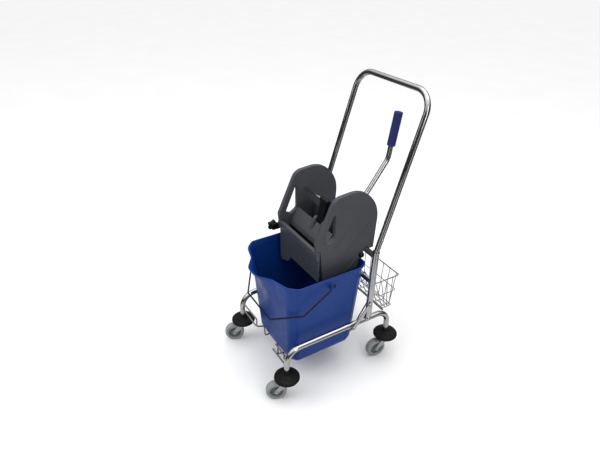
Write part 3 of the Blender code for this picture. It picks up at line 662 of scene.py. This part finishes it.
def makeBucket():
    b = bucketSize
    rim, floor, wall, lip = b["rim"], b["floor"], b["wall"], b["lip"]

    def lean(z):
        return lip * (z - floor) / (rim - floor)

    outer = [(floor + 0.0030, 0.0200), (floor + 0.0004, 0.0170), (floor, 0.0150), (floor + 0.0006, 0.0105),
             (floor + 0.0024, 0.0066), (floor + 0.0056, 0.0032), (floor + 0.0120, 0.0010)]
    levels, foot, top = 30, 0.104, rim - 0.0110
    for k in range(levels + 1):
        z = foot + (top - foot) * k / levels
        outer.append((z, lean(z)))
    inner = [(rim - 0.0005, lip - 0.0010)]
    for k in range(levels + 1):
        z = top - (top - (floor + 0.012)) * k / levels
        inner.append((z, lean(z) + wall))
    inner += [(floor + 0.0066, 0.0050), (floor + 0.0040, 0.0090), (floor + 0.0032, 0.0150)]
    lipRound = [(rim - 0.0100, lip - 0.0004), (rim - 0.0100, 0.0010), (rim - 0.0096, 0.0002),
                (rim - 0.0085, 0.0), (rim - 0.0030, 0.0), (rim - 0.0014, 0.0004), (rim - 0.0004, 0.0014),
                (rim, 0.0030), (rim, lip - 0.0022)]

    def build(work):
        loops = []
        for z, inset in outer + lipRound + inner:
            loops.append([work.verts.new((x, y + midY, z)) for x, y in bucketRing(min(z, rim), inset)])
        count = len(loops[0])
        for first, second in zip(loops, loops[1:]):
            for k in range(count):
                n = (k + 1) % count
                work.faces.new((first[k], first[n], second[n], second[k]))
        for loop in (loops[0], loops[-1]):
            middle = work.verts.new((0, midY - 0.03, loop[0].co.z))
            for k in range(count):
                work.faces.new((middle, loop[k], loop[(k + 1) % count]))

    pail = meshFrom("pail", build, 40)
    pivotY, pivotZ = bailSize["pivot"]
    keepers = [pail]
    for side in (-1, 1):
        keeper = turnedFrom("keeper", [(0.0, 0.0175), (0.0030, 0.0174), (0.0048, 0.0162), (0.0056, 0.0140),
                                       (0.0062, 0.0), (0.0, 0.0)], 28)
        keeper.matrix_world = lookAlong(spot(side * 0.1540, pivotY, pivotZ), (side, 0, 0))
        keepers.append(keeper)
    pail = joined(keepers)
    pail.name = "pail"
    fit(pail, blueMould, "bucket", ["bucket"])


makeBucket()
print("bucket done")


def makeBail():
    b = bailSize
    drop = math.radians(b["drop"])

    def on(x, reach):
        return spot(x, b["pivot"][0] - reach * math.cos(drop), b["pivot"][1] - reach * math.sin(drop))

    tip = -0.0120       # the wire runs past its keeper and hooks back towards the wall
    points = [on(-0.1605, tip - 0.001), on(-b["half"], tip), on(-b["half"], b["side"][0]),
              on(-b["grip"], b["reach"]), on(b["grip"], b["reach"]), on(b["half"], b["side"][1]),
              on(b["half"], tip), on(0.1605, tip - 0.001)]
    path = bendPath(points, [0.0040, 0.012, 0.012, 0.012, 0.012, 0.0040], 8)
    wires = [tubeAlong("bail_wire", path, b["wire"], 16)]
    for side in (-1, 1):
        wires.append(tubeAlong("pin", [on(side * 0.142, 0), on(side * 0.155, 0), on(side * b["half"], 0)],
                               b["wire"] * 0.85, 12))
    fit(joined(wires), blackMould, "bail", ["bail"])


makeBail()
print("bail done")


wringerSize = {
    "in": 0.1070, "out": 0.1220, "shaft": (0.0320, 0.6000), "shaftR": 0.0050,
    "crank": 0.0200, "crankTurn": 130.0, "lug": (0.0060, 0.5460), "linkX": 0.0280,
}


def cheekOutline():
    notchY, notchZ = chassisSize["crossUpper"]
    r = chassisSize["tube"] + 0.0005
    overRim = 0.4231
    shape = outline2d([(-0.0558, 0.342), (-0.030, 0.340), (-0.026, 0.388), (0.090, 0.392),
                       (0.0945, overRim), (notchY - r, overRim), (notchY - r, notchZ)],
                      [0.006, 0.006, 0.006, 0.004, 0.003, 0.006, 0.001], 5)[:-6]
    shape += [(notchY - r * math.cos(math.radians(a)), notchZ + r * math.sin(math.radians(a)))
              for a in range(0, 181, 12)]
    shape += [(0.1500, notchZ)]
    shape += outline2d([(0.1500, notchZ), (0.1605, 0.600), (0.098, 0.676), (-0.007, 0.668), (-0.072, 0.527),
                        (-0.0690, 0.5006), (-0.0558, 0.5006), (-0.0558, 0.342)],
                       [0.001, 0.110, 0.090, 0.040, 0.012, 0.002, 0.002, 0.001], 12)[13:-13]
    return shape


def makeCheeks():
    w = wringerSize
    hole = outline2d([(-0.003, 0.628), (-0.046, 0.528), (-0.026, 0.517), (-0.003, 0.532)],
                     [0.004, 0.006, 0.008, 0.010], 8)
    ribs = [((0.058, 0.560), (-0.002, 0.496)), ((0.143, 0.560), (0.032, 0.462)),
            ((0.090, 0.438), (0.049, 0.401))]
    for side, hand in ((-1, "left"), (1, "right")):
        x = side * (w["in"] + w["out"]) / 2
        slab = standUp(plateFrom("slab", [cheekOutline(), hole], w["out"] - w["in"], 0.0026, 4), x)
        parts = [slab]
        for start, end in ribs:
            a, b = Vector(start), Vector(end)
            along = (b - a).normalized()
            across = Vector((-along.y, along.x)) * 0.0016
            bar = plateFrom("bar", [outline2d([tuple(a - across), tuple(b - across), tuple(b + across),
                                               tuple(a + across)], [0.0014] * 4, 3)], 0.0028, 0.0012, 3)
            standUp(bar, side * (w["out"] + 0.0003))
            parts.append(bar)
        cheek = joined(parts)
        cheek.name = "wringer_cheek_" + hand
        cheek.data.shade_smooth()
        cheek.data.set_sharp_from_angle(angle=math.radians(40))
        fit(cheek, greyMould, "wringer", ["cheek_" + hand])


def makeFrontWall():
    parts = []
    # apron across both cheeks: a tall left end, then a lower edge that steps up
    apron = outline2d([(-0.1216, 0.4655), (-0.1216, 0.3380), (-0.0700, 0.3560), (-0.0480, 0.3840),
                       (0.1216, 0.3880), (0.1216, 0.4655)], [0.002, 0.007, 0.008, 0.006, 0.005, 0.002], 5)
    front = plateFrom("front_panel", [apron], 0.0052, 0.0018, 4)
    front.matrix_world = Matrix.Translation((0, midY - 0.0598, 0)) @ Matrix(
        ((1, 0, 0, 0), (0, 0, -1, 0), (0, 1, 0, 0), (0, 0, 0, 1)))
    parts.append(front)
    # top bar above a groove
    bar = outline2d([(-0.0571, 0.4560), (-0.0571, 0.5000), (-0.0700, 0.5000), (-0.0680, 0.4700),
                     (-0.0590, 0.4690), (-0.0590, 0.4560)],
                    [0.0015, 0.0035, 0.0040, 0.0020, 0.001, 0.001], 5)
    parts.append(standUp(plateFrom("bar", [bar], 0.2436, 0.0010, 2), 0))
    wall = joined(parts)
    wall.name = "front_panel"
    wall.data.shade_smooth()
    wall.data.set_sharp_from_angle(angle=math.radians(40))
    fit(wall, greyMould, "wringer", ["front_wall"])


def makePressPlate():
    inside = wringerSize["in"] - 0.003
    face = outline2d([(-0.0312, 0.4150), (-0.0270, 0.4150), (-0.0285, 0.4770), (-0.0225, 0.4920),
                      (0.0030, 0.5330), (-0.0010, 0.5390), (-0.0285, 0.4970), (-0.0325, 0.4830)],
                     [0.002, 0.002, 0.010, 0.010, 0.002, 0.002, 0.010, 0.010], 5)
    parts = [standUp(plateFrom("board", [face], 2 * inside, 0.0008, 2), 0)]
    ear = outline2d([(-0.0240, 0.498), (-0.004, 0.512), (0.0150, 0.5460), (0.0060, 0.5570),
                     (-0.0060, 0.5500)],
                    [0.003, 0.003, 0.009, 0.009, 0.010], 8)
    for side in (-1, 1):
        beside = wringerSize["linkX"] + side * 0.0230
        parts.append(standUp(plateFrom("ear", [ear], 0.012, 0.0016, 3), beside))
    plate = joined(parts)
    plate.name = "press_board"
    fit(plate, greyMould, "press_plate", ["press_plate"])
    # squeezing face: near-black pad with upright ribs, seen through the slot behind the front bar; its
    # darkness is painted shade standing in for the shadow in that slot
    pad = outline2d([(-0.0334, 0.4210), (-0.0314, 0.4200), (-0.0326, 0.4860), (-0.0340, 0.4810)],
                    [0.0004] * 4, 3)
    ribs = [standUp(plateFrom("press_shade_pad", [pad], 2 * inside - 0.004, 0.0003, 1), 0)]
    for k in range(19):
        rib = outline2d([(-0.0330, 0.4220), (-0.0350, 0.4240), (-0.0352, 0.4780), (-0.0334, 0.4810)],
                        [0.0008] * 4, 3)
        ribs.append(standUp(plateFrom("rib", [rib], 0.0030, 0.0006, 1), (k - 9) * 0.0108))
    fit(joined(ribs), capRubberAndShadePad, "press_plate")


def makeRearWall():
    inside = wringerSize["in"] - 0.0003
    face = outline2d([(0.0600, 0.3965), (0.0640, 0.3965), (0.0640, 0.5400), (0.0600, 0.5400)],
                     [0.0014] * 4, 4)
    parts = [standUp(plateFrom("rear_screen", [face], 2 * inside, 0.0004, 1), 0)]
    for k in range(5):
        rib = outline2d([(0.0630, 0.400), (0.0690, 0.404), (0.0690, 0.530), (0.0630, 0.536)],
                        [0.0015] * 4, 3)
        parts.append(standUp(plateFrom("rib", [rib], 0.003, 0.0008, 1), (k - 2) * 0.045))
    fit(joined(parts), greyMould, "wringer", ["rear_wall"])


def capsule(a, b, radiusA, radiusB, steps=16):
    along = math.atan2(b[1] - a[1], b[0] - a[0])
    edge = []
    for centre, radius, start in ((b, radiusB, -0.5), (a, radiusA, 0.5)):
        for k in range(steps + 1):
            t = along + math.pi * (start + k / steps)
            edge.append((centre[0] + radius * math.cos(t), centre[1] + radius * math.sin(t)))
    return edge


def makeMechanism():
    w = wringerSize
    shaftY, shaftZ = w["shaft"]
    low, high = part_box("wringer_shaft")
    reach, r = (high.x - low.x) / 2, w["shaftR"]
    profile = [(0, -reach), (r - 0.0006, -reach), (r, 0.0006 - reach)]
    profile += [(r, -0.0085), (0.0082, -0.0080), (0.0098, -0.0062), (0.0102, -0.0040), (0.0102, 0.0020),
                (0.0096, 0.0042), (0.0080, 0.0052), (r, 0.0055)]
    profile += [(r, reach - 0.0006), (r - 0.0006, reach), (0, reach)]
    shaft = turnedFrom("press_shaft", profile, 32)
    sideways = Matrix.Rotation(math.radians(90), 4, "Y")
    shaft.matrix_world = Matrix.Translation(spot(0, shaftY, shaftZ)) @ sideways
    fit(shaft, chrome, "lever", ["wringer_shaft"])

    turn = math.radians(w["crankTurn"])
    pin = (shaftY + w["crank"] * math.cos(turn), shaftZ + w["crank"] * math.sin(turn))
    for side, hand in ((-1, "left"), (1, "right")):
        node = "crank_" + hand
        arm = plateFrom("press_crank_" + hand, [capsule(w["shaft"], pin, 0.0100, 0.0075)], 0.004, 0.0009, 3)
        standUp(arm, middleOf(node).x)
        fit(bake(arm), blackMould, "lever", [node])
    arm = standUp(plateFrom("push_arm", [capsule(w["lug"], pin, 0.0075, 0.0070)], 0.032, 0.0016, 3),
                  middleOf("push_link").x)
    fit(bake(arm), blackMould, "push_link", ["push_link"])


def makeClamp():
    low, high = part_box("clamp_lug")
    tab = outline2d([(-0.094, 0.462), (-0.048, 0.462), (-0.048, 0.486), (-0.094, 0.486)],
                    [0.010, 0.003, 0.003, 0.010], 8)
    lug = standUp(plateFrom("clamp_tab", [tab], high.x - low.x, 0.0010, 3), (low.x + high.x) / 2)
    fit(bake(lug), blackMould, "wringer", ["clamp_lug"])

    low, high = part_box("clamp_knob")
    thick = high.x - low.x
    star = []
    for k in range(120):
        angle = 2 * math.pi * k / 120
        radius = 0.0162 + 0.0027 * math.cos(5 * angle)
        star.append((-0.0820 + radius * math.cos(angle), 0.4740 + radius * math.sin(angle)))
    grip = standUp(plateFrom("star_knob", [star], thick, 0.0034, 5), (low.x + high.x) / 2)
    hub = turnedFrom("hub", [(0, 0.0016), (0.0052, 0.0014), (0.0066, 0.0004), (0.0070, -0.002),
                             (0, -0.002)], 32)
    hub.matrix_world = lookAlong(spot(low.x + 0.0016, -0.0820, 0.4740), (-1, 0, 0))
    hub.matrix_world.translation.x = low.x + 0.0016
    knob = joined([grip, hub])
    knob.name = "star_knob"
    knob.data.shade_smooth()
    knob.data.set_sharp_from_angle(angle=math.radians(50))
    fit(knob, blackMould, "clamp_knob", ["clamp_knob"])

    low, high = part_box("hook_screw")
    centre, r, tall = (low + high) / 2, (high.z - low.z) / 2, high.x - low.x
    cap = turnedFrom("round_cap", [(0, tall), (r * 0.45, tall * 0.98), (r * 0.78, tall * 0.86),
                                   (r * 0.95, tall * 0.62), (r, tall * 0.35), (r, 0), (0, 0)], 40)
    cap.matrix_world = lookAlong(Vector((low.x, centre.y, centre.z)), (1, 0, 0))
    fit(cap, blackMould, "wringer", ["hook_screw"])


def makeSieve():
    low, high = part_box("sieve")
    slots = []
    for k in range(9):
        x = (k - 4) * 0.0215
        slots.append(outline2d([(x - 0.0045, midY - 0.044), (x + 0.0045, midY - 0.044),
                                (x + 0.0045, midY + 0.074), (x - 0.0045, midY + 0.074)], [0.004] * 4, 5))
    edge = outline2d([(low.x, low.y), (high.x, low.y), (high.x, high.y), (low.x, high.y)], [0.002] * 4, 4)
    plate = plateFrom("drain_grid", [edge] + slots, high.z - low.z, 0.0006, 2)
    plate.location.z = (low.z + high.z) / 2
    fit(bake(plate), greyMould, "wringer", ["sieve"])


makeCheeks()
makeFrontWall()
makePressPlate()
makeRearWall()
makeMechanism()
makeClamp()
makeSieve()
print("wringer done")


leverSize = {
    "x": 0.0800, "tube": 0.0080, "grip": 0.0135,
    "path": [(0.0515, 0.0340, 0.6141), (0.080, 0.0340, 0.6141), (0.080, 0.1350, 0.6270),
             (0.080, 0.2140, 0.7330), (0.080, 0.2200, 0.7710), (0.080, 0.2372, 0.8700)],
    "bends": [0.018, 0.030, 0.050, 0.030],
    "gripFoot": (0.080, 0.2207, 0.7750), "gripEnd": (0.080, 0.2390, 0.8790),
}


def makeLever():
    c = leverSize
    path = bendPath([spot(*p) for p in c["path"]], c["bends"], 12)
    fit(tubeAlong("lever_bar", path, c["tube"], 24), chrome, "lever", ["lever_tube"])

    foot, end = spot(*c["gripFoot"]), spot(*c["gripEnd"])
    length, r = (end - foot).length, c["grip"]
    profile = [(c["tube"] + 0.0004, 0.0), (r - 0.0018, 0.0), (r - 0.0004, 0.0008), (r, 0.0022)]
    ribCount = 17
    start, pitch = 0.004, (length - 0.012) / ribCount
    for k in range(ribCount):
        z = start + k * pitch
        profile += [(r, z + pitch * 0.10), (r, z + pitch * 0.55), (r - 0.0009, z + pitch * 0.68),
                    (r - 0.0009, z + pitch * 0.90)]
    profile += [(r, length - 0.0075), (r, length - 0.0040), (r - 0.0008, length - 0.0016),
                (r - 0.0030, length - 0.0003), (r - 0.0060, length), (0, length)]
    profile += [(0, length - 0.007), (c["tube"] + 0.0004, length - 0.007)]
    grip = turnedFrom("hand_grip", profile, 48, smooth=30)
    grip.matrix_world = lookAlong(foot, end - foot)
    fit(grip, gripMould, "lever", ["lever_grip"])


makeLever()
print("lever done")


# each ring is half width, front, rear and height
basketSize = {
    "top": (0.1660, 0.1400, 0.2400, 0.3360), "mid": (0.1570, 0.1650, 0.2400, 0.2650),
    "low": (0.1460, 0.1960, 0.2370, 0.1900), "rimWire": 0.0022, "wire": 0.0014,
    "across": 9, "deep": 3,
}


def makeBasket():
    b = basketSize
    parts = []

    def ringAt(name, half, front, rear, z, radius):
        r = 0.006
        points = outline2d([(-half + radius, front + radius), (half - radius, front + radius),
                            (half - radius, rear - radius), (-half + radius, rear - radius)], [r] * 4, 5)
        return tubeAlong(name, [spot(x, y, z) for x, y in points], radius, 12, True)

    half, front, rear, z = b["top"]
    zTop = z - b["rimWire"]
    parts.append(ringAt("basket_wires", half, front, rear, zTop, b["rimWire"]))
    parts.append(ringAt("midRing", *b["mid"][:3], b["mid"][3], b["wire"]))
    lowHalf, lowFront, lowRear, lowZ = b["low"]
    parts.append(ringAt("lowRing", lowHalf, lowFront, lowRear, lowZ + b["wire"], b["wire"]))
    w = b["wire"]

    def stake(topPoint, lowPoint, otherLow=None, otherTop=None):
        points = [spot(*topPoint), spot(*lowPoint)]
        radii = []
        if otherLow:
            points += [spot(*otherLow), spot(*otherTop)]
            radii = [0.006, 0.006]
        parts.append(tubeAlong("upright", bendPath(points, radii, 5), w, 10))

    inTop, inLow = b["rimWire"] * 2 + w * 0.2, 2.2 * w
    for k in range(b["across"] + 1):
        t = 2 * (k / b["across"]) - 1
        xTop, xLow = t * (half - 0.012), t * (lowHalf - 0.010)
        stake((xTop, rear - inTop, zTop), (xLow, lowRear - inLow, lowZ + 3 * w),
                (xLow, lowFront + inLow, lowZ + 3 * w), (xTop, front + inTop, zTop))
    for k in range(b["deep"]):
        t = (k + 1) / (b["deep"] + 1)
        for side in (-1, 1):
            yTop, yLow = front + (rear - front) * t, lowFront + (lowRear - lowFront) * t
            stake((side * (half - inTop), yTop, zTop), (side * (lowHalf - inLow), yLow, lowZ + 3 * w))
    for t in (0.33, 0.67):
        y = lowFront + (lowRear - lowFront) * t
        ends = [spot(-lowHalf + inLow, y, lowZ + w), spot(lowHalf - inLow, y, lowZ + w)]
        parts.append(tubeAlong("floorWire", ends, w, 10))
    crossY, crossZ = chassisSize["crossLower"]
    wrap = chassisSize["tube"] + 0.0003 + 0.0018
    for x in (-0.120, 0.120):
        over = []
        for degrees in range(0, 151, 10):
            a = math.radians(degrees)
            over.append(spot(x, crossY + wrap * math.cos(a), crossZ + wrap * math.sin(a)))
        parts.append(tubeAlong("hook", [spot(x, front + b["rimWire"], zTop)] + over, 0.0018, 12))
    basket = joined(parts)
    basket.data.shade_smooth()
    basket.name = "basket_wires"
    fit(basket, chromeWire, "wire_basket", ["wire_basket"])


makeBasket()
print("basket done")


def makeStage():
    def build(work):
        bmesh.ops.create_grid(work, x_segments=1, y_segments=1, size=30)
    floor = meshFrom("studioFloor", build)
    floor.location.z = -0.0003
    made, tree, shader = newFinish("paleFloor", (0.86, 0.86, 0.86), 0.9)
    shader.inputs["Specular IOR Level"].default_value = 0.0
    pale = blendColour(tree, remap(tree, noiseOn(tree, 3, 3), 0.3, 0.7, 0, 1), (0.87, 0.87, 0.87),
                       (0.85, 0.85, 0.85))
    # for glossy rays only, the floor is painted mid grey near the object and dark farther out, with bright
    # radial streaks: a painted reflection for the bright metal to mirror in place of a darker room and
    # strip lights
    where = tree.nodes.new("ShaderNodeTexCoord")
    reach = tree.nodes.new("ShaderNodeVectorMath")
    reach.operation = "LENGTH"
    tree.links.new(where.outputs["Object"], reach.inputs[0])
    around = tree.nodes.new("ShaderNodeTexGradient")
    around.gradient_type = "RADIAL"
    tree.links.new(where.outputs["Object"], around.inputs["Vector"])
    # painted reflection: bright radial bands on a dark ground, seen only in the metal
    paintedReflectionStreaks = tree.nodes.new("ShaderNodeValToRGB")
    paintedReflectionStreaks.color_ramp.elements[0].color = (0.05, 0.05, 0.05, 1)
    paintedReflectionStreaks.color_ramp.elements[1].color = (0.05, 0.05, 0.05, 1)
    for place, grey in ((0.295, 0.04), (0.33, 0.90), (0.365, 0.04), (0.475, 0.04), (0.51, 0.90),
                        (0.545, 0.04), (0.85, 0.25)):
        paintedReflectionStreaks.color_ramp.elements.new(place).color = (grey, grey, grey, 1)
    tree.links.new(around.outputs["Fac"], paintedReflectionStreaks.inputs["Fac"])
    sheet = blendColour(tree, remap(tree, reach.outputs["Value"], 0.55, 1.1, 0, 1), (0.55, 0.55, 0.55),
                        paintedReflectionStreaks.outputs["Color"])
    # camera rays see the pale floor, glossy rays see the painted reflection
    ray = tree.nodes.new("ShaderNodeLightPath")
    floorOrPaintedReflection = blendColour(tree, ray.outputs["Is Glossy Ray"], pale, sheet)
    tree.links.new(floorOrPaintedReflection, shader.inputs["Base Color"])
    floor.data.materials.append(made)

    world = bpy.data.worlds.new("studio")
    bpy.context.scene.world = world
    world.use_nodes = True
    sky = world.node_tree
    where = sky.nodes.new("ShaderNodeTexCoord")
    split = sky.nodes.new("ShaderNodeSeparateXYZ")
    ramp = sky.nodes.new("ShaderNodeValToRGB")
    ramp.color_ramp.elements[0].position = 0.0
    ramp.color_ramp.elements[0].color = (0.01, 0.01, 0.01, 1)
    ramp.color_ramp.elements[1].position = 1.0
    ramp.color_ramp.elements[1].color = (0.95, 0.95, 0.95, 1)
    for place, grey in ((0.25, 0.05), (0.5, 0.30)):
        ramp.color_ramp.elements.new(place).color = (grey, grey, grey * 1.02, 1)
    sky.links.new(where.outputs["Generated"], split.inputs["Vector"])
    sky.links.new(split.outputs["Z"], ramp.inputs["Fac"])
    sky.links.new(ramp.outputs["Color"], sky.nodes["Background"].inputs["Color"])
    sky.nodes["Background"].inputs["Strength"].default_value = 2.0

    def softbox(name, where, aim, size, power):
        data = bpy.data.lights.new(name, "AREA")
        data.shape = "RECTANGLE"
        data.size, data.size_y = size
        data.energy = power
        lamp = link(bpy.data.objects.new(name, data))
        lamp.location = where
        lamp.rotation_euler = (Vector(where) - Vector(aim)).to_track_quat("Z", "Y").to_euler()
        return lamp

    # the wide key box lights the plastics only, the tubes mirror the narrow strip next to it
    softbox("keyBox", (-0.8, -2.6, 2.6), (0, 0, 0.35), (1.6, 1.6), 30).visible_glossy = False
    softbox("stripBox", (-1.1, -2.4, 1.9), (0, 0, 0.45), (0.35, 1.8), 5).visible_diffuse = False
    softbox("sideBox", (2.9, -0.3, 1.7), (0, 0, 0.4), (0.5, 2.0), 14)
    softbox("topBox", (0.2, 0.6, 3.2), (0, 0, 0.4), (2.2, 2.2), 20)


def makeCamera():
    view = {"turn": 59.22, "tilt": 30.75, "place": (1.198, -0.769, 1.363), "lens": 30.62}
    data = bpy.data.cameras.new("view")
    data.lens = view["lens"]
    data.sensor_width = 36
    data.sensor_fit = "HORIZONTAL"
    camera = link(bpy.data.objects.new("view", data))
    camera.location = spot(*view["place"])
    camera.rotation_euler = (math.radians(90 - view["tilt"]), 0, math.radians(view["turn"]))
    bpy.context.scene.camera = camera


makeStage()
makeCamera()
bpy.context.scene.view_settings.view_transform = "Standard"
print("stage and camera done")
